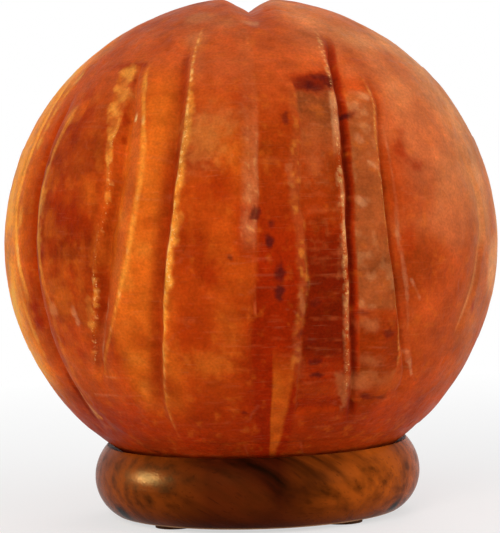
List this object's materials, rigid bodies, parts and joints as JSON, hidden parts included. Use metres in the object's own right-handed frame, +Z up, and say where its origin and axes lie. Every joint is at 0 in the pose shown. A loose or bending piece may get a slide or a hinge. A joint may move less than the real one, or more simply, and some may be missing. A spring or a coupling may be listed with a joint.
{
  "type": "salt crystal lamp",
  "caption": "Ball-shaped rock salt lamp with carved upright grooves on a turned wooden base, holding a small bulb on a clip-in lampholder.",
  "frame": {"origin": "middle of the underside, on the surface that the lamp stands on", "axes": "+Z up along the lamp's axis, front towards -Y, cord channel towards +Y"},
  "size_m": [0.151, 0.151, 0.1579],
  "materials": {
    "varnished_wood": "turned hardwood with dark grain, glossy varnish",
    "rock_salt": "orange rock salt, hand carved, slightly translucent, semi-gloss",
    "zinc_steel": "zinc plated",
    "spring_steel": "bright spring steel",
    "felt": "thin dark felt",
    "holder_plastic": "black moulded plastic",
    "steatite": "unglazed electrical ceramic",
    "brass": "plain brass",
    "clear_glass": "clear glass",
    "cap_metal": "rolled thin metal",
    "black_glass": "black insulating glass",
    "solder": "dull solder",
    "nickel_wire": "drawn wire",
    "tungsten": "fine coiled wire"
  },
  "bodies": {
    "base": {"wood_base": "varnished_wood", "salt_crystal": "rock_salt", "salt_fixing_screws": "zinc_steel", "foot_pads": "felt"},
    "holder": {"mounting_bracket": "zinc_steel", "clip_rivets": "zinc_steel", "threaded_nipple": "zinc_steel", "star_washer": "spring_steel", "lock_nut": "zinc_steel", "socket_cup": "holder_plastic", "socket_sleeve": "holder_plastic", "terminal_block": "steatite", "terminal_screws": "brass", "screw_shell": "brass", "shell_strap": "brass"},
    "right_clip": {"right_spring_clip": "spring_steel"},
    "left_clip": {"left_spring_clip": "spring_steel"},
    "tongue": {"contact_tongue": "brass"},
    "bulb_slider": {"bulb_insulator": "black_glass"},
    "bulb": {"bulb_glass": "clear_glass", "bulb_cap": "cap_metal", "bulb_contact": "solder", "glass_stem": "clear_glass", "lead_wires": "nickel_wire", "filament": "tungsten"}
  },
  "joints": [
    {"name": "holder_slide", "type": "slide", "parent": "base", "child": "holder", "axis": [0, 0, -1], "range_m": [0, 0.12]},
    {"name": "right_clip_squeeze", "type": "hinge", "parent": "holder", "child": "right_clip", "pos_m": [0.0125, 0, 0.0228], "axis": [0, 1, 0], "range_deg": [-20, 0], "stiffness_Nm_per_rad": 0.02, "springref_deg": 22.92},
    {"name": "left_clip_squeeze", "type": "hinge", "parent": "holder", "child": "left_clip", "pos_m": [-0.0125, 0, 0.0228], "axis": [0, -1, 0], "range_deg": [-20, 0], "stiffness_Nm_per_rad": 0.02, "springref_deg": 22.92},
    {"name": "tongue_press", "type": "hinge", "parent": "holder", "child": "tongue", "pos_m": [-0.005, 0, 0.0445], "axis": [0, 1, 0], "range_deg": [0, 6], "stiffness_Nm_per_rad": 0.01, "springref_deg": -11.46},
    {"name": "bulb_lift", "type": "slide", "parent": "holder", "child": "bulb_slider", "axis": [0, 0, 1], "range_m": [0, 0.00846]},
    {"name": "bulb_turn", "type": "hinge", "parent": "bulb_slider", "child": "bulb", "pos_m": [0, 0, 0.055], "axis": [0, 0, 1], "range_deg": [0, 1080]}
  ],
  "couplings": [
    {"joint": "bulb_turn", "follows": "bulb_lift", "rad_per_m": 2226.5}
  ]
}
